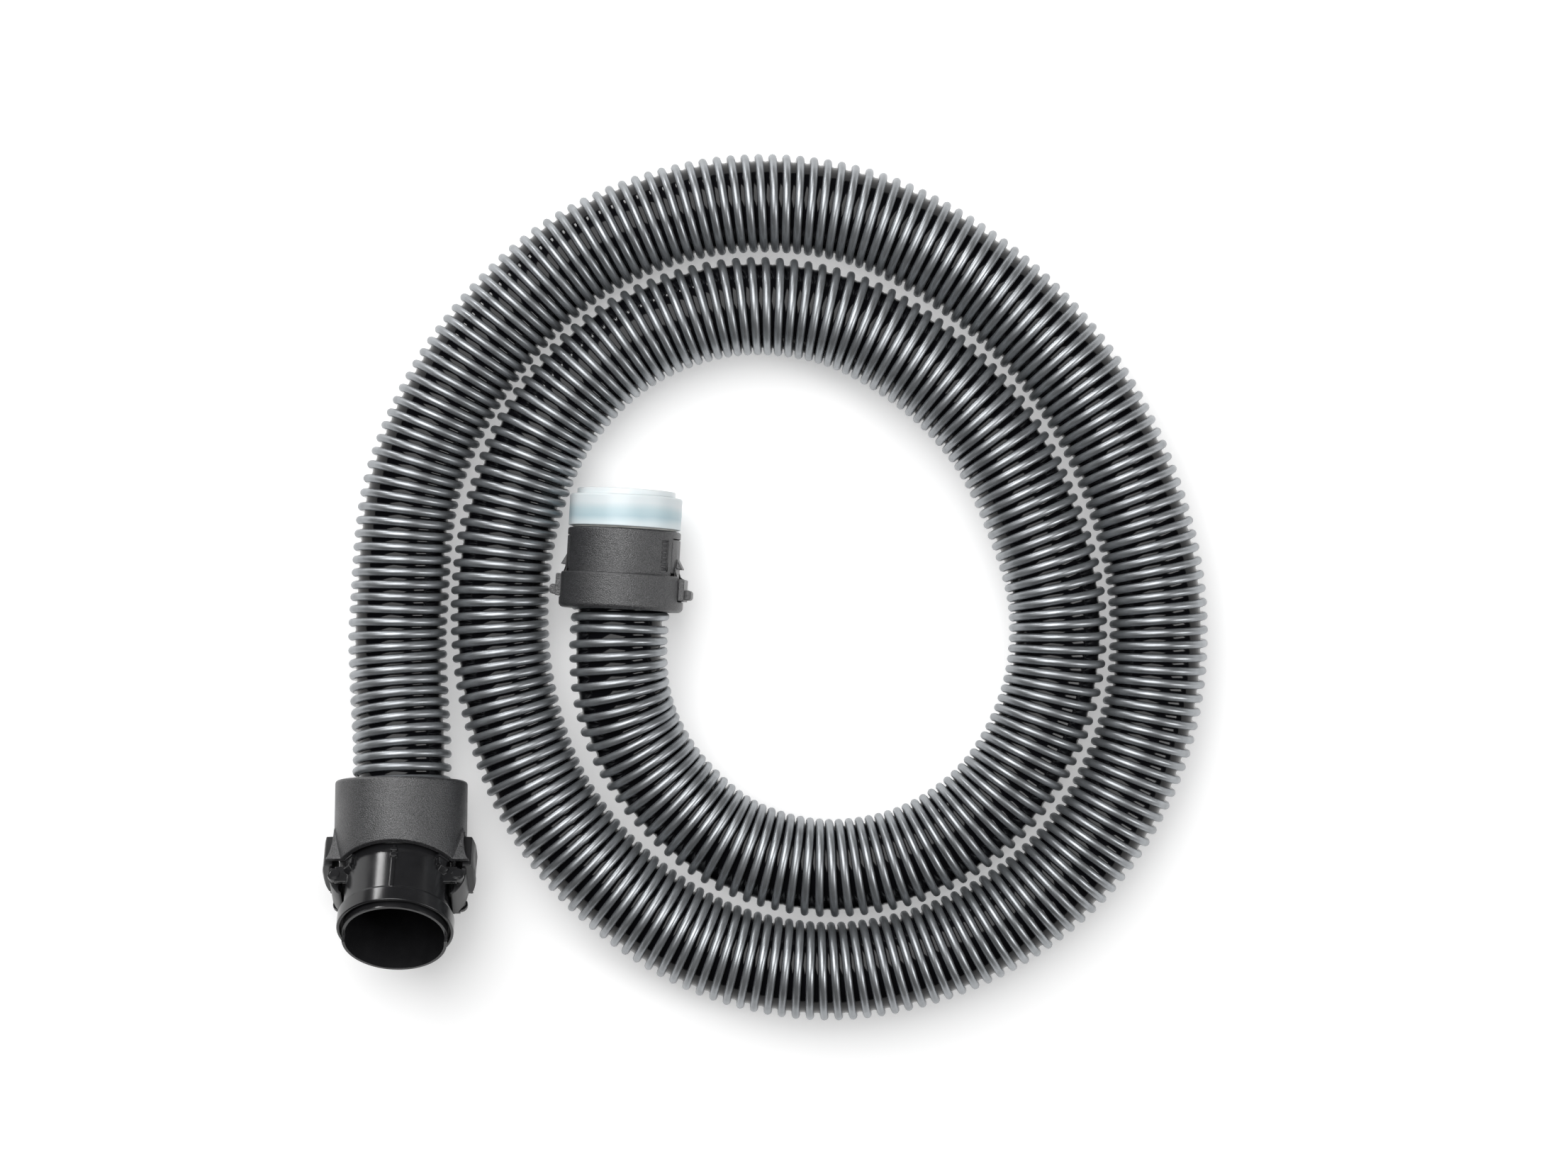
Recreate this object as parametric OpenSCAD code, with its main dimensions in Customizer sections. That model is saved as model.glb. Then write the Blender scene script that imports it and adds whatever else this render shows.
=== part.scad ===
// Vacuum cleaner hose, lying in a loose coil of two turns.
// A swivelling elbow for the machine is on one end, and a swivelling snap sleeve for the
// handle is on the other. Millimetres, +Z up, the origin on the floor at the coil's middle.

/* [Hose] */
// Diameter over the ribs
hose_od = 45; // [43:0.5:45]
// Wall of the plain tube that stands for the ribbed hose
hose_wall = 1.2; // [0.8:0.1:1.6]
// Sides of the plain tube
hose_sides = 12; // [8:2:12]

/* [Machine end] */
// Diameter of the elbow shroud
shroud_od = 60; // [60:0.5:62]
// Length of the shroud along the hose, up to the bend
shroud_run = 36.5; // [36:0.5:40]
// Angle of the bend
bend = 30; // [26:1:32]
// Angle at which the hose's end rises off the floor
rise = 8; // [6:1:10]
// Diameter of the nozzle's front ring
ring_od = 52.4; // [52:0.1:52.8]
// From the bend to the front of the ring
ring_front = 37.3; // [36:0.1:40]
// Diameter of the air duct in the nozzle
duct_od = 47; // [46.8:0.1:47.2]
// Wall of the air duct
duct_wall = 1.6; // [1.2:0.1:1.8]
// Width of each release lever
lever_w = 21.8; // [18:0.2:22]

/* [Handle end] */
// Diameter of the wide collar
collar_od = 56.6; // [56:0.2:58]
// Diameter of the snap sleeve
sleeve_od = 51.4; // [51.2:0.1:51.6]
// Diameter of the translucent end ring
end_ring_od = 51.2; // [50.8:0.1:51.2]
// From the collar's back face to the front of the end ring
handle_len = 54.6; // [54:0.2:58]
// Width of each snap latch
latch_w = 21; // [16:0.5:21]
// Height of the barb on each latch
barb_h = 2; // [1.2:0.1:2.2]

/* [Hidden] */
$fn = 96;

hose_r = hose_od / 2;
socket_r = hose_r + 0.15;
bore_r = 19.5;
run_gap = 0.05;

// Machine end: the hose enters the shroud's back face here
machine_at = [-167, -88, 29.8];
// How far the hose reaches into each cuff
machine_grip = 20;
handle_grip = 7.5;
shroud_r = shroud_od / 2;
shroud_in = shroud_r - 2.2;
rim_at = 8;
cuff_r = socket_r + 2;
duct_r = duct_od / 2;
duct_in = duct_r - duct_wall;
mouth_r = duct_in + 0.3;
neck_r = 25.2;
neck_in = duct_r + 0.1;
ring_r = ring_od / 2;
lever_r = 34.6;
pivot = [27.4, 15.5];
pin_r = 1.25;
spring_r = 2.2;
spring_wire = 0.3;
spring_x = [25.2, 29.2];
spring_z = -3.6;

// Handle end: the hose enters the collar's back face here
handle_at = [-67.5, -10, 28.75];
handle_lean = 3;
handle_dip = 1.5;
handle_roll = 4.5;
collar_r = collar_od / 2;
collar_len = 16.2;
sleeve_r = sleeve_od / 2;
sleeve_in = 24.05;
sleeve_front = 36.5;
barrel_r = 21.9;
end_ring_r = end_ring_od / 2;
root_s = 33.2;

// The hose's middle line between its two ends
ROUTE = [[-169, -41, 23.6], [-169, -10, 22.8], [-162, 50, 22.5], [-134, 106, 22.5],
         [-88, 151, 22.5], [-27, 174, 22.5], [37, 171, 22.5], [93, 143, 22.5],
         [137, 100, 22.5], [165, 48, 22.5], [178, -10, 22.5], [171, -70, 22.5],
         [141, -124, 22.5], [92, -160, 22.5], [34, -175, 22.5], [-22, -166, 22.5],
         [-69, -137, 22.5], [-101, -99, 22.5], [-118, -55, 22.5], [-123, -10, 22.5],
         [-117, 35, 22.5], [-99, 77, 22.5], [-65, 111, 22.5], [-19, 128, 22.5],
         [29, 124, 22.5], [70, 102, 22.5], [101, 71, 22.5], [121, 32, 22.5],
         [132, -10, 22.5], [127, -54, 22.5], [105, -94, 22.5], [69, -120, 22.5],
         [26, -128, 22.5], [-14, -118, 22.7], [-43, -95, 23.2], [-60, -70, 25.6], [-67, -48, 28.4]];

function unit(v) = v / norm(v);
function catmull(a, b, c, d, t) =
    0.5 * (2 * b + (c - a) * t + (2 * a - 5 * b + 4 * c - d) * t * t
           + (3 * b - a - 3 * c + d) * t * t * t);

// A point on the machine end's axis, z mm beyond the shroud's back face
function machine_point(z) = machine_at + z * [0, -cos(rise), sin(rise)];
// A point on the handle end's axis, s mm beyond the collar's back face
function handle_point(s) = handle_at
    + s * [sin(handle_lean) * cos(handle_dip), cos(handle_lean) * cos(handle_dip), -sin(handle_dip)];

// Points and triangles of a round bar or tube swept along pts, square to tans.
// The vectors in refs lie across the path and set where each ring starts.
function ring_at(p, t, ref, r, n) =
    let (a = unit(cross(t, ref)), b = cross(a, t))
    [for (k = [0 : n - 1]) p + r * (cos(360 * k / n) * a + sin(360 * k / n) * b)];
function skin(m, n, base, flip) =
    [for (i = [0 : m - 2], k = [0 : n - 1])
        let (a = base + i * n + k, b = base + i * n + (k + 1) % n)
        each (flip ? [[a, b, a + n], [b, b + n, a + n]] : [[a, a + n, b], [b, a + n, b + n]])];
function cap(n, base, flip) =
    [for (k = [1 : n - 2]) flip ? [base, base + k + 1, base + k] : [base, base + k, base + k + 1]];
function rim(n, outer, inner, flip) =
    [for (k = [0 : n - 1])
        let (a = outer + k, b = outer + (k + 1) % n, c = inner + k, d = inner + (k + 1) % n)
        each (flip ? [[a, c, b], [b, c, d]] : [[a, b, c], [b, d, c]])];

module swept_tube(pts, tans, refs, r, wall, n) {
    m = len(pts);
    outer = [for (i = [0 : m - 1]) each ring_at(pts[i], tans[i], refs[i], r, n)];
    inner = [for (i = [0 : m - 1]) each ring_at(pts[i], tans[i], refs[i], r - wall, n)];
    polyhedron(concat(outer, inner),
               concat(skin(m, n, 0, false), skin(m, n, m * n, true),
                      rim(n, 0, m * n, false), rim(n, (m - 1) * n, (2 * m - 1) * n, true)));
}

module swept_bar(pts, tans, refs, r, n) {
    m = len(pts);
    polyhedron([for (i = [0 : m - 1]) each ring_at(pts[i], tans[i], refs[i], r, n)],
               concat(skin(m, n, 0, false), cap(n, 0, false), cap(n, (m - 1) * n, true)));
}

// Frames: +Z along the hose's end and out of the shroud, +Y up
module at_machine() {
    translate(machine_at) rotate([90 - rise, 0, 0]) children();
}

// +Z out of the nozzle's mouth from the bend, +Y up
module at_nozzle() {
    translate(machine_point(shroud_run)) rotate([90 - rise - bend, 0, 0]) children();
}

// +Z out of the handle end from the collar's back face, +Y up, +X to the left
module at_handle() {
    translate(handle_at) rotate([-90 - handle_dip, 0, -handle_lean]) rotate([0, 0, 180]) children();
}

// The same, with the roll in which the sleeve rests
module at_sleeve() {
    at_handle() rotate([0, 0, -handle_roll]) children();
}

module tube(r_out, r_in, z0, z1) {
    rotate_extrude() translate([r_in, z0]) square([r_out - r_in, z1 - z0]);
}

// Half space on the nozzle's side of the bend's mitre, in the nozzle's frame
module past_mitre() {
    rotate([bend / 2, 0, 0]) translate([-60, -60, 0]) cube(120);
}

// Half space on the hose's side of the mitre, in the machine frame
module before_mitre() {
    translate([0, 0, shroud_run]) rotate([-bend / 2, 0, 0]) translate([-60, -60, -120]) cube(120);
}

module to_nozzle() {
    translate([0, 0, shroud_run]) rotate([-bend, 0, 0]) children();
}

// Root: the hose and what is fixed to it

module hose() {
    ends_a = [machine_point(machine_grip), machine_point(2), machine_point(-16)];
    ends_b = [handle_point(-18), handle_point(-4), handle_point(handle_grip)];
    knots = concat(ends_a, ROUTE, ends_b);
    n = len(knots);
    padded = concat([2 * knots[0] - knots[1]], knots, [2 * knots[n - 1] - knots[n - 2]]);
    pts = concat([for (i = [0 : n - 2], t = [0, 0.5])
                    catmull(padded[i], padded[i + 1], padded[i + 2], padded[i + 3], t)],
                 [knots[n - 1]]);
    m = len(pts);
    tans = [for (i = [0 : m - 1]) unit(pts[min(i + 1, m - 1)] - pts[max(i - 1, 0)])];
    color("#70757a")
        swept_tube(pts, tans, [for (i = [0 : m - 1]) [0, 0, 1]], hose_r, hose_wall, hose_sides);
}

module machine_cuff() {
    color("#2b2c2e") at_machine() rotate_extrude() polygon([
        [socket_r, 3], [cuff_r, 3], [cuff_r, 17.5], [27.2, 17.5], [27.2, 20.5], [cuff_r, 20.5],
        [cuff_r, 22], [23.3, 22], [23.3, 24], [cuff_r, 24], [cuff_r, 26], [bore_r, 26],
        [bore_r, machine_grip + run_gap], [socket_r, machine_grip + run_gap]]);
}

module machine_cuff_seal() {
    color("#3a3a3a") at_machine() rotate_extrude() translate([24.15, 23]) circle(0.8, $fn = 32);
}

module handle_cuff() {
    color("#3a3c3e") at_handle() rotate_extrude() polygon([
        [socket_r, 1.9], [26.2, 1.9], [26.2, 4.5], [24, 4.5], [24, 10], [barrel_r, 10],
        [barrel_r, handle_len - 4.4], [bore_r, handle_len - 4.4], [bore_r, handle_grip + run_gap],
        [socket_r, handle_grip + run_gap]]);
}

module end_ring() {
    top = handle_len - 2.8;
    color("#dbe9ee") at_handle() rotate_extrude() polygon([
        [23.6, 37.4], [end_ring_r - 0.4, 37.4], [end_ring_r, 37.8], [end_ring_r, top - 0.6],
        [end_ring_r - 0.6, top], [22.4, top], [22.4, handle_len], [bore_r, handle_len],
        [bore_r, top - 1.55], [barrel_r + run_gap, top - 1.55], [barrel_r + run_gap, 46.6],
        [24.7, 46.6], [24.7, 39.8], [23.6, 39.8]]);
}

module end_seal() {
    color("#c8d4d8") at_handle() tube(23.5, barrel_r + run_gap, 36.7, 39.7);
}

// Machine end: swivels on the machine cuff

// Both arms of the bent duct, meeting at the mitre, the hose's arm being the wider
module duct_bars(hose_side_r, nozzle_side_r, z0, z1) {
    intersection() {
        translate([0, 0, z0]) cylinder(h = shroud_run + 20 - z0, r = hose_side_r);
        before_mitre();
    }
    to_nozzle() intersection() {
        translate([0, 0, -20]) cylinder(h = z1 + 20, r = nozzle_side_r);
        past_mitre();
    }
}

// Concave lip beside a lever, standing out of the shroud
module lever_guard(y0) {
    lip = [for (a = [0 : 15 : 90]) [29.6 + 3.1 * (1 - cos(a)), -8 + 16 * sin(a)]];
    translate([0, y0 + 2.2, 0]) rotate([90, 0, 0]) linear_extrude(2.2)
        polygon(concat([[20, -8]], lip, [[20, 8]]));
}

module elbow_shroud() {
    round_r = 1.5;
    corner = [for (a = [0 : 15 : 90])
        [shroud_r - round_r + round_r * sin(a), round_r - round_r * cos(a)]];
    color("#37383a") at_machine() difference() {
        union() {
            intersection() {
                rotate_extrude() polygon(concat([[23, 0]], corner, [[shroud_r, 80],
                    [shroud_in, 80], [shroud_in, 2.2], [23, 2.2]]));
                to_nozzle() translate([-60, -60, rim_at - 120]) cube(120);
            }
            difference() {
                for (side = [0, 1]) mirror([side, 0, 0]) to_nozzle() {
                    lever_guard(lever_w / 2 + 1.3);
                    lever_guard(-lever_w / 2 - 3.5);
                }
                cylinder(h = 80, r = shroud_in);
            }
        }
        for (side = [-1, 1]) to_nozzle()
            translate([side * 33, 0, 4]) cube([16, lever_w + 2.6, 24], center = true);
    }
}

module swivel_bush() {
    color("#d8d8d2") at_machine() tube(shroud_in - run_gap, cuff_r + run_gap, 2.3, 17.4);
}

module elbow_duct() {
    socket_in = cuff_r + 0.4;
    lip = ring_front + 2.3;
    color("#1d1e20") at_machine() difference() {
        union() {
            duct_bars(duct_r + 1.6, duct_r, 26.2, lip);
            translate([0, 0, 20.7]) cylinder(h = 7.3, r = socket_in + 1.6);
            translate([0, 0, 20.7]) cylinder(h = 2, r = shroud_in - run_gap);
            to_nozzle() {
                rotate([0, 0, 180]) translate([0, 0, lip - 1])
                    linear_extrude(4.3) intersection() {
                        circle(duct_r);
                        translate([-30, 0]) square([60, 30]);
                    }
                for (side = [-1, 1]) translate([side * 24.7, 0, spring_z])
                    rotate([0, 90, 0]) cylinder(h = 1, r = 2.6, center = true, $fn = 48);
            }
        }
        translate([0, 0, 20]) cylinder(h = 6.2, r = socket_in);
        duct_bars(duct_in + 1, duct_in, 26, lip + 4);
        to_nozzle() translate([0, 0, rim_at]) cylinder(h = lip, r = mouth_r);
    }
}

// Ear that carries the end of a lever's pin, from y0 outwards
module pin_ear(y0) {
    difference() {
        union() {
            translate([20.8, y0, pivot[1] - 4]) cube([pivot[0] - 20.8, 2, 8]);
            translate([pivot[0], y0, pivot[1]]) rotate([-90, 0, 0]) cylinder(h = 2, r = 3.2);
        }
        translate([pivot[0], y0 - 1, pivot[1]]) rotate([-90, 0, 0]) cylinder(h = 4, r = pin_r + 0.02);
    }
}

module nozzle() {
    window_w = lever_w + 0.8;
    step = ring_front - 7.2;
    color("#1b1c1e") at_nozzle() {
        difference() {
            union() {
                intersection() {
                    tube(neck_r, neck_in, -20, step + 1);
                    past_mitre();
                }
                tube(ring_r, neck_in, step, step + 2);
                rotate_extrude() polygon([
                    [neck_in + 1.2, step + 1], [ring_r, step + 1], [ring_r, ring_front - 0.5],
                    [ring_r - 0.5, ring_front], [neck_in + 1.2, ring_front]]);
                for (a = [38, 142, 218, 322]) rotate([0, 0, a]) {
                    translate([24.6, -3.2, rim_at + 0.2]) cube([3.1, 6.4, 3.6]);
                    translate([24.6, -2.4, rim_at + 3]) cube([2.2, 4.8, 4.8]);
                }
                translate([-0.8, 24.8, rim_at]) cube([1.6, 1.3, step - rim_at]);
                translate([-1.5, 24.8, rim_at + 2]) cube([3, 2, 4.5]);
            }
            for (side = [-1, 1])
                translate([side * 30, 0, 12]) cube([22, window_w, 33], center = true);
        }
        for (side = [0, 1]) mirror([side, 0, 0]) {
            pin_ear(window_w / 2);
            pin_ear(-window_w / 2 - 2);
        }
    }
}

module port_seal() {
    color("#303030") at_nozzle() tube(neck_in + 1.15, neck_in - run_gap,
                                      ring_front - 5.1, ring_front - 2.7);
}

module lever_pin(side) {
    len = lever_w + 4.8;
    color("#b8babd") at_nozzle() translate([side * pivot[0], -len / 2, pivot[1]])
        rotate([-90, 0, 0]) cylinder(h = len, r = pin_r, $fn = 48);
}

// Small coil spring that pushes the thumb end of a lever outwards
module lever_spring(side) {
    turns = 4;
    steps = 16 * turns;
    x0 = spring_x[0] + spring_wire + 0.05;
    x1 = spring_x[1] - spring_wire - 0.05;
    pitch = (x1 - x0) / 360 / turns;
    angs = [for (i = [0 : steps]) 360 * turns * i / steps];
    pts = [for (a = angs) [x0 + pitch * a, spring_r * cos(a), spring_r * sin(a)]];
    tans = [for (a = angs) unit([pitch * 180 / PI, -spring_r * sin(a), spring_r * cos(a)])];
    refs = [for (a = angs) [0, cos(a), sin(a)]];
    color("#c0c2c4") at_nozzle() mirror([side < 0 ? 1 : 0, 0, 0]) translate([0, 0, spring_z])
        swept_bar(pts, tans, refs, spring_wire, 6);
}

// Lever: a wide thumb pad beside the shroud, a barrel round the pin, and a narrower tail
// with a hook that points inwards
module release_lever(side) {
    tail_w = 17;
    thumb = [for (a = [0 : 18 : 90]) [33 + 1.6 * sin(a), -4.8 - 1.6 * cos(a)]];
    color("#222325") at_nozzle() mirror([side < 0 ? 1 : 0, 0, 0]) difference() {
        union() {
            intersection() {
                translate([0, lever_w / 2, 0]) rotate([90, 0, 0]) linear_extrude(lever_w)
                    polygon(concat([[spring_x[1], -6.4]], thumb,
                        [[lever_r, 7.2], [33.8, 8.6], [31, 9.4], [spring_x[1], 9.4]]));
                cylinder(h = 60, r = lever_r, center = true);
            }
            translate([0, tail_w / 2, 0]) rotate([90, 0, 0]) linear_extrude(tail_w)
                polygon([[spring_x[1], 6], [31, 9.2], [31, 12], [30.3, 15.5], [28.9, 18.8],
                    [26.8, 21.8], [25.4, 22.8], [24.4, 22.8], [24.4, 22.2], [25.6, 20.8],
                    [26, 19], [25.4, 17.6], [25, 16.6], [25, 14.4], [25.4, 13.4], [spring_x[1], 9]]);
            translate([pivot[0], lever_w / 2, pivot[1]]) rotate([90, 0, 0])
                cylinder(h = lever_w, r = 2.5);
        }
        translate([pivot[0], 20, pivot[1]]) rotate([90, 0, 0]) cylinder(h = 40, r = pin_r + 0.07);
    }
}

// Handle end: swivels on the handle cuff

module handle_sleeve() {
    slot_w = latch_w + 0.8;
    color("#3b3c3e") at_sleeve() difference() {
        rotate_extrude() polygon([
            [sleeve_in, 6], [sleeve_r - 0.05, 6], [sleeve_r - 0.05, collar_len], [sleeve_r, collar_len],
            [sleeve_r, sleeve_front - 0.8], [sleeve_r - 0.8, sleeve_front],
            [barrel_r + 0.07, sleeve_front], [barrel_r + 0.07, root_s + 0.4],
            [sleeve_in, root_s + 0.4]]);
        for (side = [-1, 1])
            translate([side * 30, 0, root_s / 2 + 2]) cube([20, slot_w, root_s - 4], center = true);
        rotate([0, 0, 144]) translate([sleeve_r - 0.5, -2.2, 18.5]) cube([2, 4.4, 13.5]);
    }
}

module handle_collar() {
    round_r = 2.2;
    corner = [for (a = [0 : 15 : 90])
        [collar_r - round_r + round_r * sin(a), round_r - round_r * cos(a)]];
    color("#3b3c3e") at_sleeve() difference() {
        rotate_extrude() polygon(concat([[hose_r + 0.7, 0]], corner,
            [[collar_r, collar_len - 0.3], [collar_r - 0.3, collar_len], [sleeve_r, collar_len],
             [sleeve_r, 6], [26.5, 6], [26.5, 1.7], [hose_r + 0.7, 1.7]]));
        for (side = [-1, 1])
            translate([side * 34, 0, 10.8]) cube([20, 18, 12], center = true);
    }
}

// Snap latch: root at the front of its slot, a barb, and a finger tab in the collar's window
module latch(side) {
    color("#343537") at_sleeve() mirror([side > 0 ? 1 : 0, 0, 0]) {
        intersection() {
            tube(sleeve_r, 24.3, 17.5, root_s - 0.45);
            translate([0, -latch_w / 2, 0]) cube([40, latch_w, 40]);
        }
        translate([0, 5, 0]) rotate([90, 0, 0]) linear_extrude(10)
            polygon([[25, 24.6], [sleeve_r + barb_h, 20.2], [sleeve_r + barb_h, 19.6], [25, 19.6]]);
        translate([0, 8, 0]) rotate([90, 0, 0]) linear_extrude(16)
            polygon([[24.6, 20], [25.3, 20], [25.3, 15.2], [29, 15.2], [29.4, 14.8], [29.4, 5.2],
                     [26.6, 5.2], [26.6, 13.4], [24.6, 15.4]]);
        translate([0, 5, 0]) rotate([90, 0, 0]) linear_extrude(10)
            polygon([[28.4, 5.8], [31.8, 5.8], [32.4, 6.4], [32.4, 9.7], [31.8, 10.3], [28.4, 10.3]]);
    }
}

hose();
machine_cuff();
machine_cuff_seal();
handle_cuff();
end_ring();
end_seal();
elbow_shroud();
swivel_bush();
elbow_duct();
nozzle();
port_seal();
lever_pin(-1);  // lever_pin_left
lever_pin(1);  // lever_pin_right
lever_spring(-1);  // lever_spring_left
lever_spring(1);  // lever_spring_right
release_lever(-1);  // release_lever_left
release_lever(1);  // release_lever_right
handle_sleeve();
handle_collar();
latch(-1);  // latch_left
latch(1);  // latch_right
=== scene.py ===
"""Vacuum cleaner hose in a loose coil, with a swivelling elbow and a snap sleeve on its ends.

Metres, +Z up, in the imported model's frame. Lengths written in millimetres are turned into
metres by MM. The hose, the shells, the levers and the snap latches are built here as
finished meshes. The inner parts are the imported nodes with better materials, and the duct's
edges are rounded.
"""
import math

import bmesh
import bpy
import numpy as np
from mathutils import Matrix, Vector


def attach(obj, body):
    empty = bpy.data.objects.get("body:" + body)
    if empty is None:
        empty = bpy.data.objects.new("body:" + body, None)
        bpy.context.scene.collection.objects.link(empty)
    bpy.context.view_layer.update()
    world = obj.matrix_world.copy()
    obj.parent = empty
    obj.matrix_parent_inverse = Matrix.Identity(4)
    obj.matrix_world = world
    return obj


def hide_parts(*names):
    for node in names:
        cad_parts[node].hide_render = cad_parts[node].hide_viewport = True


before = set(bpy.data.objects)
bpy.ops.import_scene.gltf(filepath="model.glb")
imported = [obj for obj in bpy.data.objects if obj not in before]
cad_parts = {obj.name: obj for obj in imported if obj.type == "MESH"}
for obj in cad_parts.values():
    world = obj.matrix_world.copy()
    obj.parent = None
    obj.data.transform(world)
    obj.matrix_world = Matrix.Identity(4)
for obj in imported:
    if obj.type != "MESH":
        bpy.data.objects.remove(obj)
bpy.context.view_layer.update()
MM = 0.001

# Sizes in millimetres, and angles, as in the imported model's source
HOSE_R = 22.5
MACHINE_AT = Vector((-167, -88, 29.8))
MACHINE_GRIP = 20
SHROUD_RUN = 36.5
RISE = math.radians(8)
BEND = math.radians(30)
HANDLE_AT = Vector((-67.5, -10, 28.75))
HANDLE_GRIP = 7.5
HANDLE_LEAN = math.radians(3)
HANDLE_DIP = math.radians(1.5)
HANDLE_ROLL = math.radians(4.5)

# Machine end, along and out from the nozzle's or the shroud's axis
SHROUD_R = 30
SHROUD_IN = 27.8
RIM_AT = 8
NECK_R = 25.2
NECK_IN = 23.6
RING_R = 26.2
RING_STEP = 30.1
RING_FRONT = 37.3
WINDOW_W = 22.6
LEVER_W = 21.8
LEVER_R = 34.6
TAIL_W = 17
PIVOT = (27.4, 15.5)
PIN_R = 1.25

# Handle end
COLLAR_R = 28.3
COLLAR_LEN = 16.2
SLEEVE_R = 25.7
SLEEVE_IN = 24.05
SLEEVE_FRONT = 36.5
BARREL_R = 21.9
END_RING_R = 25.6
HANDLE_LEN = 54.6
LATCH_W = 21
LATCH_ROOT = 33.2

# The hose's middle line between its two ends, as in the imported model's source
ROUTE = [(-169, -41, 23.6), (-169, -10, 22.8), (-162, 50, 22.5), (-134, 106, 22.5),
         (-88, 151, 22.5), (-27, 174, 22.5), (37, 171, 22.5), (93, 143, 22.5),
         (137, 100, 22.5), (165, 48, 22.5), (178, -10, 22.5), (171, -70, 22.5),
         (141, -124, 22.5), (92, -160, 22.5), (34, -175, 22.5), (-22, -166, 22.5),
         (-69, -137, 22.5), (-101, -99, 22.5), (-118, -55, 22.5), (-123, -10, 22.5),
         (-117, 35, 22.5), (-99, 77, 22.5), (-65, 111, 22.5), (-19, 128, 22.5),
         (29, 124, 22.5), (70, 102, 22.5), (101, 71, 22.5), (121, 32, 22.5),
         (132, -10, 22.5), (127, -54, 22.5), (105, -94, 22.5), (69, -120, 22.5),
         (26, -128, 22.5), (-14, -118, 22.7), (-43, -95, 23.2), (-60, -70, 25.6),
         (-67, -48, 28.4)]

# The hose's ribs and web in millimetres. The ribs' crowns reach HOSE_R.
RIB_PITCH = 5.65
RIB_HALF = 1.85
RIB_FOOT_HALF = RIB_HALF * 1.05
WEB_R = 19.1
RIB_FOOT_R = WEB_R + 0.25
INNER_R = 18.2
WIDTH_R = HOSE_R - 2  # radius at which the rib keeps its width round a bend
RIB_MARGIN = 1  # bare hose before the first rib and after the last
WALL_MARGIN = 0.5  # from the hose's ends to its inner wall's
TURN_STEPS = 40  # points in each turn of the rib
WALL_RINGS = 100
LINE_STEPS = 12  # points in each stretch of the route
PATH_STEPS = 2
SHARP_RIB = math.radians(50)

# Making the fittings
SHARP = math.radians(32)  # edges sharper than this are rounded
WELD_GAP = 0.02  # points closer than this are merged first
REACH = 60  # how far a cutting block reaches, past everything

# Camera and floor. FOCAL is in pixels of an image IMAGE_WIDTH across, the rest in metres.
SENSOR = 36
FOCAL = 5000
IMAGE_WIDTH = 2212
CAMERA_AT = (0.007, 0, 1.643)
FLOOR_HALF = 40


# ---------------------------------------------------------------- frames

def machine_point(z):
    return MACHINE_AT + z * Vector((0, -math.cos(RISE), math.sin(RISE)))


def handle_point(s):
    flat = math.cos(HANDLE_DIP)
    return HANDLE_AT + s * Vector((math.sin(HANDLE_LEAN) * flat, math.cos(HANDLE_LEAN) * flat,
                                   -math.sin(HANDLE_DIP)))


def turn(angle, axis):
    return Matrix.Rotation(angle, 4, axis)


# +Z out of the shroud along the hose's end; out of the nozzle; and out of the handle end
AT_MACHINE = Matrix.Translation(MACHINE_AT) @ turn(math.pi / 2 - RISE, "X")
AT_NOZZLE = (Matrix.Translation(machine_point(SHROUD_RUN))
             @ turn(math.pi / 2 - RISE - BEND, "X"))
AT_HANDLE = (Matrix.Translation(HANDLE_AT) @ turn(-HANDLE_LEAN, "Z")
             @ turn(-math.pi / 2 - HANDLE_DIP, "X") @ turn(math.pi, "Z"))
AT_SLEEVE = AT_HANDLE @ turn(-HANDLE_ROLL, "Z")


# ---------------------------------------------------------------- meshes

def add_object(name, mesh):
    obj = bpy.data.objects.new(name, mesh)
    bpy.context.scene.collection.objects.link(obj)
    return obj


def solid(verts, faces):
    """A working object from millimetre points, with its faces turned outwards."""
    mesh = bpy.data.meshes.new("work")
    mesh.from_pydata([tuple(v) for v in verts], [], faces)
    bm = bmesh.new()
    bm.from_mesh(mesh)
    bmesh.ops.recalc_face_normals(bm, faces=bm.faces)
    bm.to_mesh(mesh)
    bm.free()
    return add_object("work", mesh)


def lathe(outline, steps=128):
    """A ring turned about Z from a closed outline of (radius, height)."""
    count = len(outline)
    verts = [(r * math.cos(a), r * math.sin(a), z)
             for a in np.linspace(0, 2 * math.pi, steps, endpoint=False) for r, z in outline]
    faces = [(i * count + j, (i + 1) % steps * count + j,
              (i + 1) % steps * count + (j + 1) % count, i * count + (j + 1) % count)
             for i in range(steps) for j in range(count)]
    return solid(verts, faces)


def prism(outline, low, high, place):
    """The outline's points, put by place(a, b, t) at t = low and t = high, as a solid."""
    count = len(outline)
    verts = [place(a, b, t) for t in (low, high) for a, b in outline]
    faces = [tuple(range(count)), tuple(range(count, 2 * count))]
    faces += [(i, (i + 1) % count, count + (i + 1) % count, count + i) for i in range(count)]
    return solid(verts, faces)


def side_prism(outline, y0, y1):
    """An outline in (x, z), from y0 to y1."""
    return prism(outline, y0, y1, lambda a, b, t: (a, t, b))


def upright(a, b, t):
    """For prism() and rod(): an outline in (x, y), from z = low to z = high."""
    return a, b, t


def block(x0, x1, y0, y1, z0, z1):
    return side_prism([(x0, z0), (x1, z0), (x1, z1), (x0, z1)], y0, y1)


def rod(r, low, high, place, steps=48):
    """A round bar about the axis that place gives its (a, b) to."""
    ring = [(r * math.cos(a), r * math.sin(a))
            for a in np.linspace(0, 2 * math.pi, steps, endpoint=False)]
    return prism(ring, low, high, place)


def moved(obj, matrix):
    obj.data.transform(matrix)
    if matrix.determinant() < 0:
        obj.data.flip_normals()
    return obj


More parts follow.
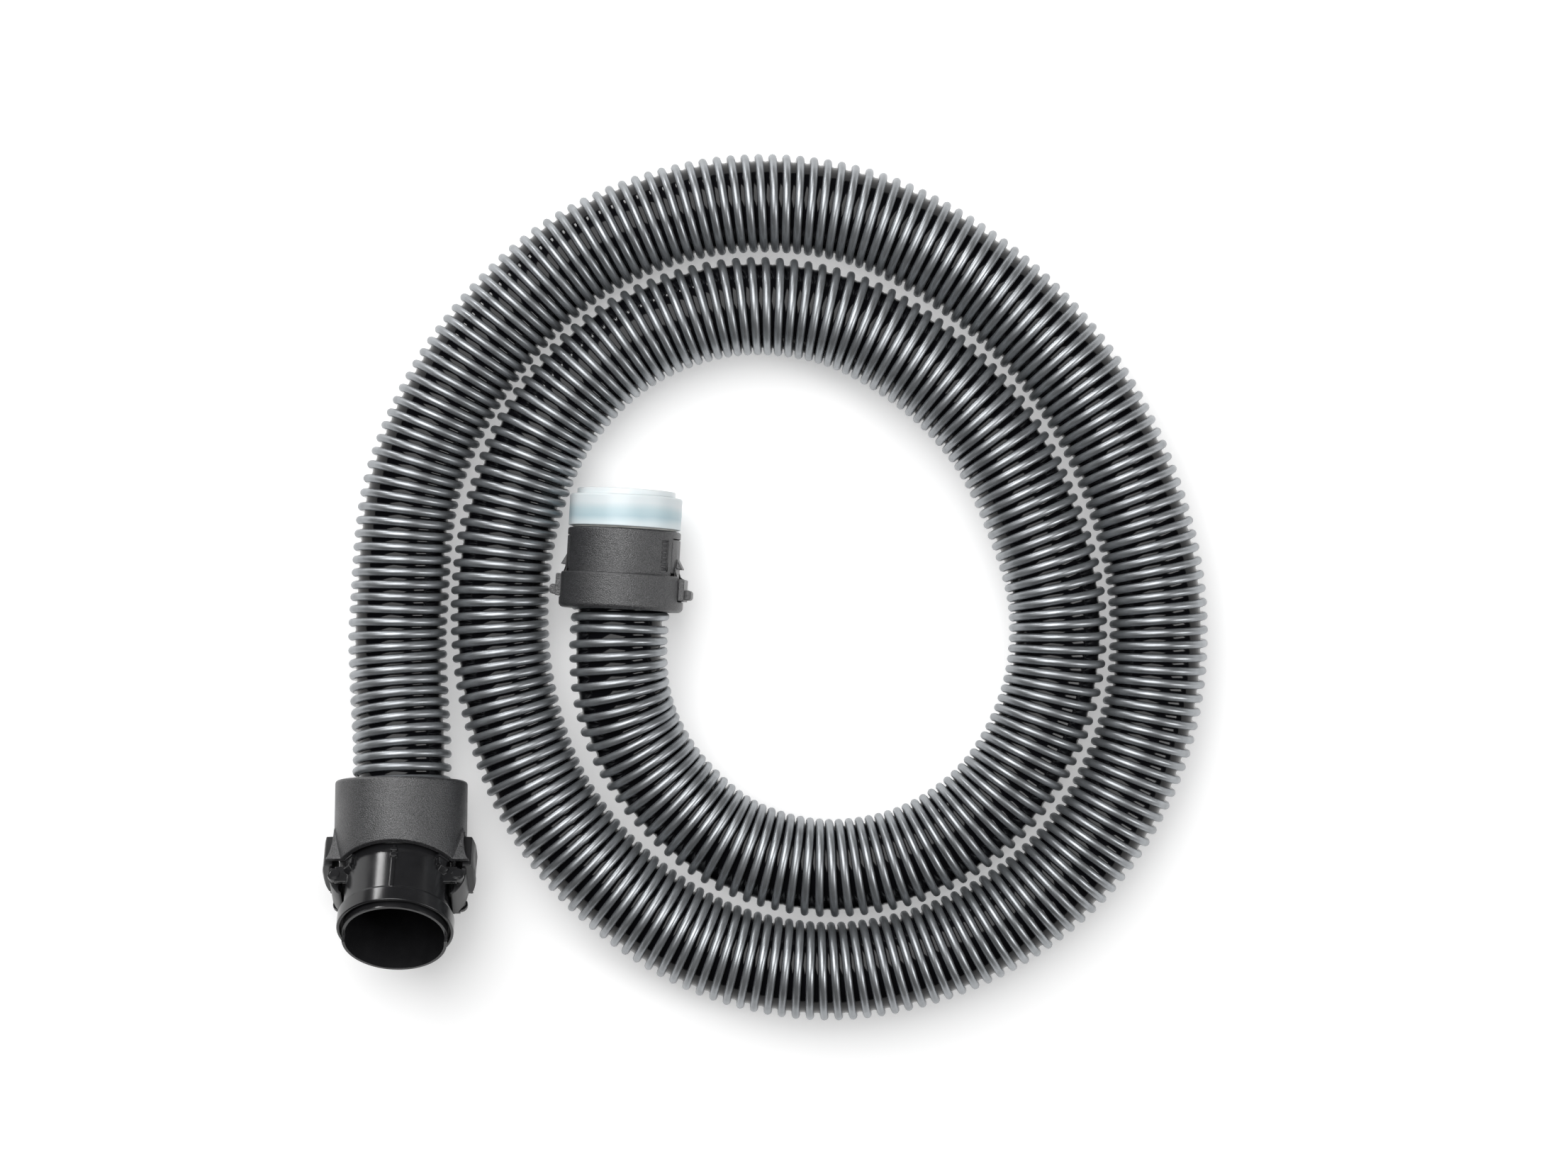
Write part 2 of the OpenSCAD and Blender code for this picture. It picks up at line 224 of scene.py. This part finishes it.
def settle(obj):
    """Applies the object's modifiers."""
    depsgraph = bpy.context.evaluated_depsgraph_get()
    mesh = bpy.data.meshes.new_from_object(obj.evaluated_get(depsgraph))
    obj.modifiers.clear()
    obj.data = mesh
    return obj


def combine(base, operation, *others):
    for other in others:
        change = base.modifiers.new("combine", "BOOLEAN")
        change.operation = operation
        change.solver = "EXACT"
        change.object = other
        settle(base)
        bpy.data.objects.remove(other)
    return base


def side_name(side):
    return "right" if side > 0 else "left"


def joined(base, *others):
    return combine(base, "UNION", *others)


def cut(base, *others):
    return combine(base, "DIFFERENCE", *others)


def softened(obj, width):
    """Rounds every edge sharper than SHARP by width millimetres."""
    weld = obj.modifiers.new("weld", "WELD")
    weld.merge_threshold = WELD_GAP
    bevel = obj.modifiers.new("bevel", "BEVEL")
    bevel.width = width
    bevel.segments = 2
    bevel.limit_method = "ANGLE"
    bevel.angle_limit = SHARP
    bevel.use_clamp_overlap = False
    return settle(obj)


def finish_piece(obj, name, at, mat, body, stands_for):
    moved(obj, Matrix.Scale(MM, 4) @ at)
    obj.name = name
    obj.data.name = name
    obj.data.materials.clear()
    obj.data.materials.append(mat)
    obj.data.shade_smooth()
    weighted = obj.modifiers.new("normals", "WEIGHTED_NORMAL")
    weighted.keep_sharp = True
    settle(obj)
    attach(obj, body)
    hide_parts(stands_for)


def arc(x, y, r, start, end, steps):
    """Points on an arc about (x, y), from start to end in degrees."""
    return [(x + r * math.cos(math.radians(a)), y + r * math.sin(math.radians(a)))
            for a in np.linspace(start, end, steps)]


# ---------------------------------------------------------------- materials

def new_material(name):
    mat = bpy.data.materials.new(name)
    mat.use_nodes = True
    tree = mat.node_tree
    return mat, tree, tree.nodes["Principled BSDF"]


def node(tree, kind, **values):
    made = tree.nodes.new(kind)
    for key, value in values.items():
        if key in made.inputs:
            made.inputs[key].default_value = value
        else:
            setattr(made, key, value)
    return made


def noise(tree, scale, detail=3.0):
    coords = node(tree, "ShaderNodeTexCoord")
    made = node(tree, "ShaderNodeTexNoise", Scale=scale, Detail=detail)
    tree.links.new(coords.outputs["Object"], made.inputs["Vector"])
    return made


def mapped(tree, source, low, high, start=0.3, end=0.7):
    made = node(tree, "ShaderNodeMapRange")
    made.inputs["From Min"].default_value = start
    made.inputs["From Max"].default_value = end
    made.inputs["To Min"].default_value = low
    made.inputs["To Max"].default_value = high
    tree.links.new(source, made.inputs["Value"])
    return made.outputs["Result"]


def bumped(tree, shader, source, strength, distance, edge=0.0):
    """Bumps the shader's normal by source, over edges shaded as round where edge is set."""
    bump = node(tree, "ShaderNodeBump", Strength=strength, Distance=distance)
    tree.links.new(source, bump.inputs["Height"])
    if edge:
        bevel = node(tree, "ShaderNodeBevel", Radius=edge)
        bevel.samples = 4
        tree.links.new(bevel.outputs["Normal"], bump.inputs["Normal"])
    tree.links.new(bump.outputs["Normal"], shader.inputs["Normal"])


def plastic(name, color, rough, spread=0.04, grain=None, edge=0.0, specular=0.5,
            metallic=0.0, speckle=(140, 0.12)):
    """Moulded plastic or metal, with slightly uneven gloss and tone and a fine grain.

    grain is the bump's noise scale, strength and depth; edge, the radius that its edges
    are shaded with; speckle, the tone's noise scale and how far it varies.
    """
    mat, tree, shader = new_material(name)
    cloud = noise(tree, 60)
    tree.links.new(mapped(tree, cloud.outputs["Fac"], rough - spread, rough + spread),
                   shader.inputs["Roughness"])
    shader.inputs["Specular IOR Level"].default_value = specular
    shader.inputs["Metallic"].default_value = metallic
    size, change = speckle
    tone = node(tree, "ShaderNodeMix", data_type="RGBA")
    tone.inputs["A"].default_value = (*[c * (1 - change) for c in color], 1)
    tone.inputs["B"].default_value = (*[min(c * (1 + change), 1) for c in color], 1)
    tree.links.new(mapped(tree, noise(tree, size).outputs["Fac"], 0, 1, 0.36, 0.64),
                   tone.inputs["Factor"])
    tree.links.new(tone.outputs["Result"], shader.inputs["Base Color"])
    scale, strength, distance = grain or (900, 0.05, 0.00002)
    bumped(tree, shader, noise(tree, scale, 2).outputs["Fac"], strength, distance, edge)
    return mat


def milky_plastic():
    """Translucent bluish plastic, with a band of painted shade where the ring is hollow behind
    its wall.
    """
    mat, tree, shader = new_material("milky_ring")
    axis = handle_point(1) - HANDLE_AT
    coords = node(tree, "ShaderNodeTexCoord")
    along = node(tree, "ShaderNodeVectorMath", operation="DOT_PRODUCT")
    along.inputs[1].default_value = axis
    tree.links.new(coords.outputs["Object"], along.inputs[0])
    cloud = noise(tree, 45, 2)
    drift = node(tree, "ShaderNodeMath", operation="MULTIPLY_ADD")
    drift.inputs[1].default_value = 0.004
    tree.links.new(cloud.outputs["Fac"], drift.inputs[0])
    tree.links.new(along.outputs["Value"], drift.inputs[2])
    # from 37 mm along the handle end's axis to its front; the noise adds 2 mm on average
    start = axis.dot(HANDLE_AT) * MM + 0.002
    place = mapped(tree, drift.outputs["Value"], 0, 1, start + 0.037, start + HANDLE_LEN * MM)
    ramp = node(tree, "ShaderNodeValToRGB")
    # the ramp's darker middle stops are painted shade for the hollow seen through the wall
    stops = [(0.0, (0.70, 0.77, 0.79)), (0.12, (0.65, 0.74, 0.77)), (0.28, (0.46, 0.60, 0.65)),
             (0.44, (0.52, 0.65, 0.69)), (0.62, (0.70, 0.76, 0.78)), (1.0, (0.72, 0.76, 0.77))]
    for at, color in stops[1:-1]:
        ramp.color_ramp.elements.new(at)
    for element, (at, color) in zip(ramp.color_ramp.elements, stops):
        element.position = at
        element.color = (*color, 1)
    tree.links.new(place, ramp.inputs["Fac"])
    tree.links.new(ramp.outputs["Color"], shader.inputs["Base Color"])
    tree.links.new(mapped(tree, noise(tree, 300).outputs["Fac"], 0.28, 0.4),
                   shader.inputs["Roughness"])
    shader.inputs["Subsurface Weight"].default_value = 0.35
    shader.inputs["Subsurface Radius"].default_value = (0.8, 1.0, 1.0)
    shader.inputs["Subsurface Scale"].default_value = 0.002
    bumped(tree, shader, noise(tree, 1500, 2).outputs["Fac"], 0.1, 0.00003)
    return mat


# ---------------------------------------------------------------- camera and light

def add_camera():
    data = bpy.data.cameras.new("camera")
    data.sensor_width = SENSOR
    data.lens = SENSOR * FOCAL / IMAGE_WIDTH
    data.clip_start = 0.05
    data.clip_end = 100
    camera = bpy.data.objects.new("camera", data)
    camera.location = CAMERA_AT
    bpy.context.scene.collection.objects.link(camera)
    bpy.context.scene.camera = camera


def add_floor():
    half = FLOOR_HALF
    mesh = bpy.data.meshes.new("floor")
    mesh.from_pydata([(-half, -half, 0), (half, -half, 0), (half, half, 0), (-half, half, 0)],
                     [], [(0, 1, 2, 3)])
    floor = add_object("floor", mesh)
    mat, _, shader = new_material("floor_white")
    shader.inputs["Base Color"].default_value = (0.75, 0.75, 0.75, 1)
    shader.inputs["Roughness"].default_value = 0.9
    shader.inputs["Specular IOR Level"].default_value = 0.0
    shader.inputs["Emission Color"].default_value = (1, 1, 1, 1)
    shader.inputs["Emission Strength"].default_value = 0.36
    floor.data.materials.append(mat)


def add_area(name, place, target, width, height, power):
    data = bpy.data.lights.new(name, "AREA")
    data.shape = "RECTANGLE"
    data.size = width
    data.size_y = height
    data.energy = power
    light = bpy.data.objects.new(name, data)
    light.location = place
    aim = Vector(target) - Vector(place)
    light.rotation_euler = aim.to_track_quat("-Z", "Y").to_euler()
    bpy.context.scene.collection.objects.link(light)


def add_lights():
    add_area("key", (-0.42, 0.7, 1.75), (0, 0, 0), 1.7, 1.7, 44)
    add_area("rim", (-1.0, 1.5, 0.35), (-0.1, -0.1, 0), 0.4, 0.3, 7)
    add_area("fill", (1.5, -0.4, 1.0), (0, 0, 0), 0.5, 1.0, 12)
    world = bpy.data.worlds.new("studio")
    world.use_nodes = True
    background = world.node_tree.nodes["Background"]
    background.inputs["Color"].default_value = (1, 1, 1, 1)
    background.inputs["Strength"].default_value = 0.05
    bpy.context.scene.world = world
    bpy.context.scene.view_settings.view_transform = "Standard"


# ---------------------------------------------------------------- hose

def catmull(a, b, c, d, t):
    """A point at t on the smooth curve from b to c."""
    return 0.5 * (2 * b + (c - a) * t + (2 * a - 5 * b + 4 * c - d) * t * t
                  + (3 * b - a - 3 * c + d) * t ** 3)


def hose_line(steps):
    """Points of the hose's middle line in millimetres, steps to each stretch of the route."""
    # three points on each fitting's axis lead straight into it
    knots = [machine_point(z) for z in (MACHINE_GRIP, 2, -16)]
    knots += [Vector(p) for p in ROUTE]
    knots += [handle_point(s) for s in (-18, -4, HANDLE_GRIP)]
    padded = [2 * knots[0] - knots[1]] + knots + [2 * knots[-1] - knots[-2]]
    points = [catmull(*padded[i:i + 4], step / steps)
              for i in range(len(knots) - 1) for step in range(steps)]
    return np.array(points + [knots[-1]])


class Sweep:
    """Places points around a line: at s along it, r out from it, at an angle around it."""

    def __init__(self, line):
        gaps = np.linalg.norm(np.diff(line, axis=0), axis=1)
        self.along = np.concatenate([[0], np.cumsum(gaps)])
        self.length = self.along[-1]
        self.line = line
        tangent = np.gradient(line, self.along, axis=0)
        self.tangent = tangent / np.linalg.norm(tangent, axis=1)[:, None]
        curve = np.gradient(self.tangent, self.along, axis=0)
        across = np.cross(self.tangent, [0, 0, 1])
        self.across = across / np.linalg.norm(across, axis=1)[:, None]
        self.up = np.cross(self.across, self.tangent)
        self.bow = np.einsum("ij,ij->i", curve, self.across)
        self.lift = np.einsum("ij,ij->i", curve, self.up)

    def read(self, values, s):
        if values.ndim == 1:
            return np.interp(s, self.along, values)
        return np.stack([np.interp(s, self.along, values[:, i]) for i in range(3)], axis=-1)

    def stretch(self, s, angle, r):
        """How much longer the hose is at this angle than on its middle line."""
        return 1 - r * (self.read(self.bow, s) * np.cos(angle)
                        + self.read(self.lift, s) * np.sin(angle))

    def place(self, s, r, angle):
        """Points at s, carried straight on beyond either end."""
        inside = np.clip(s, 0, self.length)
        out = (self.read(self.line, inside)
               + (s - inside)[..., None] * self.read(self.tangent, inside))
        cos, sin = np.cos(angle)[..., None], np.sin(angle)[..., None]
        radial = cos * self.read(self.across, inside) + sin * self.read(self.up, inside)
        return out + r[..., None] * radial


def rib_profile():
    """Offsets from the rib's middle and radii over one rib: up, round the crown, and down."""
    tip = HOSE_R - RIB_HALF
    crown = [(-RIB_HALF * math.cos(a), tip + RIB_HALF * math.sin(a))
             for a in np.linspace(0, math.pi, 7)]
    return [(-RIB_FOOT_HALF, RIB_FOOT_R)] + crown + [(RIB_FOOT_HALF, RIB_FOOT_R)]


def add_hose(rib_mat, web_mat):
    sweep = Sweep(hose_line(LINE_STEPS))
    rib = rib_profile()
    ribbed = sweep.length - 2 * RIB_MARGIN
    turns = int(ribbed / RIB_PITCH)
    rows = turns * TURN_STEPS
    pitch = ribbed / turns

    # A left-handed helix: the angle falls as the rib runs on
    row = np.arange(rows + TURN_STEPS + 1)
    angle = -2 * math.pi * row / TURN_STEPS
    middle = RIB_MARGIN + pitch * (row / TURN_STEPS - 0.5)
    wide = sweep.stretch(np.clip(middle, 0, sweep.length), angle, WIDTH_R)
    columns = []
    here, after = slice(0, rows + 1), slice(TURN_STEPS, rows + TURN_STEPS + 1)
    for offset, r in rib:
        columns.append((middle[here] + offset / wide[here], np.full(rows + 1, r)))
    edge_a = middle[here] + rib[-1][0] / wide[here]
    edge_b = middle[after] + rib[0][0] / wide[after]
    # one line of points down the middle of the web
    columns.append((edge_a * 0.5 + edge_b * 0.5, np.full(rows + 1, WEB_R)))
    width = len(columns)
    points = [sweep.place(s, r, angle[here]) for s, r in columns]
    grid = np.stack(points, axis=1).reshape(-1, 3)
    # the edge of the rib's last turn closes the strip
    closing = sweep.place(edge_b[rows - TURN_STEPS:], np.full(TURN_STEPS + 1, rib[0][1]),
                          angle[rows - TURN_STEPS:rows + 1])

    def vertex(m, j):
        """Index of point j across row m; past the web it is on the next turn's first edge."""
        if j < width:
            return m * width + j
        if m + TURN_STEPS <= rows:
            return (m + TURN_STEPS) * width
        return (rows + 1) * width + m - (rows - TURN_STEPS)

    faces, kinds = [], []
    for m in range(rows):
        for j in range(width):
            faces.append((vertex(m, j), vertex(m + 1, j), vertex(m + 1, j + 1), vertex(m, j + 1)))
            kinds.append(0 if 0 < j < len(rib) - 2 else 1)

    # a smooth wall inside, from one end to the other
    rings = np.linspace(WALL_MARGIN, sweep.length - WALL_MARGIN, WALL_RINGS)
    around = -2 * math.pi * np.arange(TURN_STEPS) / TURN_STEPS
    inner = [sweep.place(np.full(TURN_STEPS, s), np.full(TURN_STEPS, INNER_R), around)
             for s in rings]
    base = len(grid) + len(closing)
    for i in range(len(rings) - 1):
        for k in range(TURN_STEPS):
            a, b = base + i * TURN_STEPS + k, base + i * TURN_STEPS + (k + 1) % TURN_STEPS
            faces.append((a, a + TURN_STEPS, b + TURN_STEPS, b))
            kinds.append(1)
    # each end's rim, from the rib's first or last turn in to the wall
    last = base + (len(rings) - 1) * TURN_STEPS
    for k in range(TURN_STEPS):
        nxt = (k + 1) % TURN_STEPS
        faces.append((vertex(k, 0), base + k, base + nxt, vertex(k + 1, 0)))
        m = rows - TURN_STEPS + k
        turn_k, turn_n = m % TURN_STEPS, (m + 1) % TURN_STEPS
        faces.append((vertex(m, width), vertex(m + 1, width), last + turn_n, last + turn_k))
        kinds += [1, 1]
    faces.append([base] + [vertex(0, j) for j in range(width + 1)])
    faces.append([last + rows % TURN_STEPS] + [vertex(rows, j) for j in range(width, -1, -1)])
    kinds += [1, 1]

    verts = np.concatenate([grid, closing] + inner) * MM
    mesh = bpy.data.meshes.new("ribbed_hose")
    mesh.from_pydata(verts.tolist(), [], faces)
    mesh.materials.append(rib_mat)
    mesh.materials.append(web_mat)
    mesh.polygons.foreach_set("material_index", kinds)
    mesh.shade_smooth()
    mesh.set_sharp_from_angle(angle=SHARP_RIB)
    mesh.update()
    hose = add_object("ribbed_hose", mesh)
    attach(hose, "hose_body")
    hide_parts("hose")
    path = hose_line(PATH_STEPS) * MM


# ---------------------------------------------------------------- machine end

def to_nozzle():
    """From the nozzle's frame to the shroud's."""
    return Matrix.Translation((0, 0, SHROUD_RUN)) @ turn(-BEND, "X")


def add_shroud(mat):
    outline = ([(23, 0)] + arc(SHROUD_R - 1.6, 1.6, 1.6, -90, 0, 7)
               + [(SHROUD_R, z) for z in range(6, 72, 4)]
               + [(SHROUD_IN, z) for z in range(70, 2, -4)] + [(SHROUD_IN, 2.2), (23, 2.2)])
    shroud = lathe(outline, 160)
    lip = [(29.4 + 3.3 * (1 - math.cos(a)), -8.2 + 16.2 * math.sin(a))
           for a in np.linspace(0, math.pi / 2, 9)]
    for side in (-1, 1):
        for y0 in (LEVER_W / 2 + 0.7, -LEVER_W / 2 - 3.5):
            guard = side_prism([(20, -8.2)] + lip + [(32.7, 10), (20, 10)], y0, y0 + 2.8)
            moved(guard, to_nozzle() @ Matrix.Scale(side, 4, (1, 0, 0)))
            cut(guard, rod(SHROUD_IN + 1.1, -5, 80, upright, 90))
            joined(shroud, guard)
    # the shroud's front is cut square to the nozzle, with a slot for each lever
    beyond = moved(block(-REACH, REACH, -REACH, REACH, RIM_AT, RIM_AT + 90), to_nozzle())
    slots = moved(block(-41, 41, -LEVER_W / 2 - 1.3, LEVER_W / 2 + 1.3, -8, 16), to_nozzle())
    cut(shroud, beyond, slots)
    softened(shroud, 0.35)
    finish_piece(shroud, "elbow_shroud_shell", AT_MACHINE, mat, "machine_end",
                 "elbow_shroud")


def nozzle_catch(angle, lean):
    """The pieces of a stepped catch on the neck, its last step set lean to one side."""
    pieces = [block(24.8, 27.6, -3.2, 3.2, RIM_AT + 0.3, RIM_AT + 1.7),
              block(24.8, 26.9, -2.4, 2.4, RIM_AT + 1.2, RIM_AT + 4.8),
              side_prism([(24.8, 12.4), (27.2, 12.4), (27.2, 13.6), (25.4, 15.8), (24.8, 15.8)],
                         -2.4 + lean, 2.4 + lean)]
    return [moved(piece, turn(math.radians(angle), "Z")) for piece in pieces]


def at_pivot(a, b, t):
    """For rod(): about a lever's pin."""
    return PIVOT[0] + a, t, PIVOT[1] + b


def pin_ear(y0):
    """Ear that holds the end of a lever's pin, with a round cap over it."""
    ear = joined(block(20.8, PIVOT[0], y0, y0 + 2, PIVOT[1] - 4, PIVOT[1] + 4),
                 rod(3.2, y0, y0 + 2, at_pivot), rod(2.2, y0 + 1, y0 + 2.6, at_pivot))
    return cut(ear, rod(PIN_R + 0.03, y0 - 1, y0 + 2.1, at_pivot))


def add_nozzle(mat):
    outline = [(NECK_IN, -20), (NECK_R, -20), (NECK_R, RING_STEP - 0.9),
               (NECK_R + 0.3, RING_STEP - 0.3), (RING_R - 0.3, RING_STEP),
               (RING_R, RING_STEP + 0.4), (RING_R, RING_FRONT - 0.6)]
    outline += arc(RING_R - 0.6, RING_FRONT - 0.6, 0.6, 22, 90, 4)
    outline += [(NECK_IN + 1.2, RING_FRONT), (NECK_IN + 1.2, RING_STEP + 2),
                (NECK_IN, RING_STEP + 2)]
    nozzle = lathe(outline)
    behind = moved(block(-REACH, REACH, -REACH, REACH, -120, 0), turn(BEND / 2, "X"))
    cut(nozzle, behind)
    half = WINDOW_W / 2
    cut(nozzle, block(-41, 41, -half, half, -4.5, 28.5))
    parts = [block(-0.8, 0.8, 24.9, 26.1, RIM_AT, RING_STEP + 0.2),
             block(-1.5, 1.5, 24.9, 26.8, RIM_AT + 2, RIM_AT + 3.6),
             block(-1.5, 1.5, 24.9, 26.6, RIM_AT + 4.6, RIM_AT + 6.5)]
    for angle, lean in ((38, -1.1), (142, 1.1), (218, -1.1), (322, 1.1)):
        parts += nozzle_catch(angle, lean)
    for side in (-1, 1):
        for face in (-1, 1):
            parts.append(moved(pin_ear(half), Matrix.Diagonal((side, face, 1, 1))))
    joined(nozzle, *parts)
    softened(nozzle, 0.2)
    finish_piece(nozzle, "nozzle_shell", AT_NOZZLE, mat, "machine_end", "nozzle")


def add_lever(side, mat):
    """Release lever: a hollowed thumb pad, and a narrower tail with a hook inwards."""
    thumb = [(33.2 + 1.3 * math.cos(a), -4.8 - 1.5 * math.sin(a))
             for a in np.linspace(math.pi / 2, 0, 5)]
    hollow = [(34.5 - 0.7 * math.sin(math.pi * t), -4.8 + 12.2 * t)
              for t in np.linspace(0.1, 1, 9)]
    lever = side_prism([(29.2, -6.4)] + thumb + hollow + [(33.8, 8.6), (31, 9.4), (29.2, 9.4)],
                       -LEVER_W / 2, LEVER_W / 2)
    combine(lever, "INTERSECT", rod(LEVER_R, -REACH, REACH, upright, 160))
    tail = side_prism([(29.2, 6), (31, 9.2), (31, 12), (30.3, 15.5), (28.9, 18.8), (26.8, 21.8),
                       (25.4, 22.8), (24.4, 22.8), (24.4, 22.2), (25.6, 20.8), (26, 19),
                       (25.4, 17.6), (25, 16.6), (25, 14.4), (25.4, 13.4), (29.2, 9)],
                      -TAIL_W / 2, TAIL_W / 2)
    joined(lever, tail, rod(2.5, -LEVER_W / 2, LEVER_W / 2, at_pivot))
    cut(lever, rod(PIN_R + 0.07, -20, 20, at_pivot))
    softened(lever, 0.3)
    moved(lever, Matrix.Scale(side, 4, (1, 0, 0)))
    name = side_name(side)
    finish_piece(lever, "lever_" + name, AT_NOZZLE, mat, "lever_" + name,
                 "release_lever_" + name)


# ---------------------------------------------------------------- handle end

def add_sleeve(mat):
    outline = [(SLEEVE_IN, 6), (SLEEVE_R - 0.05, 6), (SLEEVE_R - 0.05, COLLAR_LEN - 0.4),
               (SLEEVE_R, COLLAR_LEN)]
    outline += [(SLEEVE_R, z) for z in (17.4, 21, 24.5, 28, 31.4, 33.4)]
    outline += arc(SLEEVE_R - 1, SLEEVE_FRONT - 1, 1, 0, 90, 6)
    outline += [(BARREL_R + 0.1, SLEEVE_FRONT), (BARREL_R + 0.1, LATCH_ROOT + 0.4),
                (SLEEVE_IN, LATCH_ROOT + 0.4)]
    outline += [(SLEEVE_IN, z) for z in (31.4, 28, 24.5, 21, 17.4, 12)]
    sleeve = lathe(outline)
    half = LATCH_W / 2 + 0.4
    for side in (-1, 1):
        cut(sleeve, block(side * 30 - 10, side * 30 + 10, -half, half, 4, LATCH_ROOT))
    # a recess with a plain grille in it
    around = turn(math.radians(144), "Z")
    cut(sleeve, moved(block(SLEEVE_R - 0.8, SLEEVE_R + 2, -2.2, 2.2, 18.5, 32), around))
    joined(sleeve, *[moved(block(SLEEVE_R - 1.2, SLEEVE_R - 0.35, -1.4, 1.4, z, z + 1), around)
                     for z in np.arange(19.7, 30.5, 2.1)])
    softened(sleeve, 0.15)
    finish_piece(sleeve, "sleeve_shell", AT_SLEEVE, mat, "handle_end", "handle_sleeve")


def add_collar(mat):
    outline = ([(HOSE_R + 0.7, 0.01)] + arc(COLLAR_R - 2.2, 2.2, 2.2, -90, 0, 7)
               + arc(COLLAR_R - 0.7, COLLAR_LEN - 0.7, 0.7, 0, 90, 5)
               + [(SLEEVE_R + 0.02, COLLAR_LEN), (SLEEVE_R + 0.02, 6), (26.5, 6), (26.5, 1.7),
                  (HOSE_R + 0.7, 1.7)])
    collar = lathe(outline)
    for side in (-1, 1):
        cut(collar, block(side * 34 - 10, side * 34 + 10, -9, 9, 4.8, 16.8))
    softened(collar, 0.35)
    finish_piece(collar, "collar_shell", AT_SLEEVE, mat, "handle_end", "handle_collar")


def add_latch(side, mat):
    """Snap latch: a curved plate with a barb, and a finger tab on an arm in the collar."""
    half = LATCH_W / 2
    plate = lathe([(24.3, 17.5), (SLEEVE_R, 17.5), (SLEEVE_R, LATCH_ROOT - 0.45),
                   (24.3, LATCH_ROOT - 0.45)])
    combine(plate, "INTERSECT", block(0, 40, -half, half, 0, 40))
    barb = side_prism([(25, 24.6), (27.4, 20.4), (27.7, 19.9), (27.7, 19.6), (25, 19.6)], -5, 5)
    arm = side_prism([(24.6, 20), (25.3, 20), (25.3, 15.2), (29, 15.2), (29.4, 14.8),
                      (29.4, 5.2), (26.6, 5.2), (26.6, 13.4), (24.6, 15.4)], -8, 8)
    tab = side_prism([(28, 5.8)] + arc(31, 7.2, 1.4, -90, 0, 5) + arc(31, 8.9, 1.4, 0, 90, 5)
                     + [(28, 10.3)], -5, 5)
    latch = softened(joined(plate, barb, arm, tab), 0.25)
    moved(latch, Matrix.Scale(-side, 4, (1, 0, 0)))
    name = side_name(side)
    finish_piece(latch, "snap_" + name, AT_SLEEVE, mat, "snap_" + name, "latch_" + name)


def add_end_ring(mat):
    top = HANDLE_LEN - 2.8
    outline = [(23.6, 37.4)] + arc(END_RING_R - 0.5, 37.9, 0.5, -90, 0, 5)
    outline += arc(END_RING_R - 1, top - 1, 1, 0, 90, 7)
    outline += [(22.7, top)] + arc(22.65, top + 0.25, 0.25, 270, 180, 4)
    outline += arc(22.4 - 0.5, HANDLE_LEN - 0.5, 0.5, 0, 90, 5)
    outline += [(19.8, HANDLE_LEN), (19.5, HANDLE_LEN - 0.3), (19.5, top - 1.5),
                (BARREL_R + 0.06, top - 1.5), (BARREL_R + 0.06, 46.6), (24.7, 46.6),
                (24.7, 39.8), (23.6, 39.8)]
    finish_piece(lathe(outline), "end_ring_shell", AT_HANDLE, mat, "hose_body", "end_ring")


# ---------------------------------------------------------------- build

add_camera()
add_floor()
add_lights()

rib_silver = plastic("rib_silver", (0.33, 0.345, 0.36), 0.41, 0.05, (700, 0.04, 0.00002),
                     specular=0.6, metallic=0.85)
web_black = plastic("web_black", (0.003, 0.003, 0.004), 0.1, 0.03, specular=0.2)
grained = plastic("grained_black", (0.028, 0.028, 0.03), 0.38, 0.08, (2200, 1.0, 0.0003),
                  edge=0.0003, specular=1.0, speckle=(1800, 0.85))
satin = plastic("satin_black", (0.014, 0.014, 0.015), 0.36, 0.06, edge=0.0003, specular=0.4)
gloss = plastic("gloss_black", (0.012, 0.012, 0.013), 0.2, 0.04, edge=0.0003)
grey = plastic("cuff_grey", (0.30, 0.36, 0.39), 0.4)
steel = plastic("pin_steel", (0.55, 0.55, 0.56), 0.25, metallic=1.0)
clear = milky_plastic()
rubber = plastic("seal_rubber", (0.02, 0.02, 0.02), 0.6)
felt = plastic("seal_felt", (0.5, 0.5, 0.48), 0.9, grain=(2500, 0.8, 0.0003))
bush = plastic("bush_white", (0.65, 0.65, 0.62), 0.4)

add_hose(rib_silver, web_black)
add_shroud(grained)
add_nozzle(gloss)
add_lever(-1, satin)
add_lever(1, satin)
add_sleeve(grained)
add_collar(grained)
add_latch(-1, grained)
add_latch(1, grained)
add_end_ring(clear)

NODE_MATERIALS = {
    "machine_cuff": web_black, "machine_cuff_seal": rubber, "handle_cuff": grey,
    "end_seal": felt, "swivel_bush": bush, "elbow_duct": gloss, "port_seal": rubber,
    "lever_pin_left": steel, "lever_pin_right": steel, "lever_spring_left": steel,
    "lever_spring_right": steel,
}
for name, mat in NODE_MATERIALS.items():
    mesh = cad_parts[name].data
    mesh.materials.clear()
    mesh.materials.append(mat)

# The duct's lip shows, so its edges are rounded as a moulding's are
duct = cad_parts["elbow_duct"]
duct.modifiers.new("weld", "WELD").merge_threshold = 0.00002
flat = duct.modifiers.new("flat", "DECIMATE")
flat.decimate_type = "DISSOLVE"
flat.angle_limit = math.radians(2)
edges = duct.modifiers.new("bevel", "BEVEL")
edges.width = 0.00025
edges.segments = 2
edges.angle_limit = math.radians(35)
duct.modifiers.new("normals", "WEIGHTED_NORMAL").keep_sharp = True
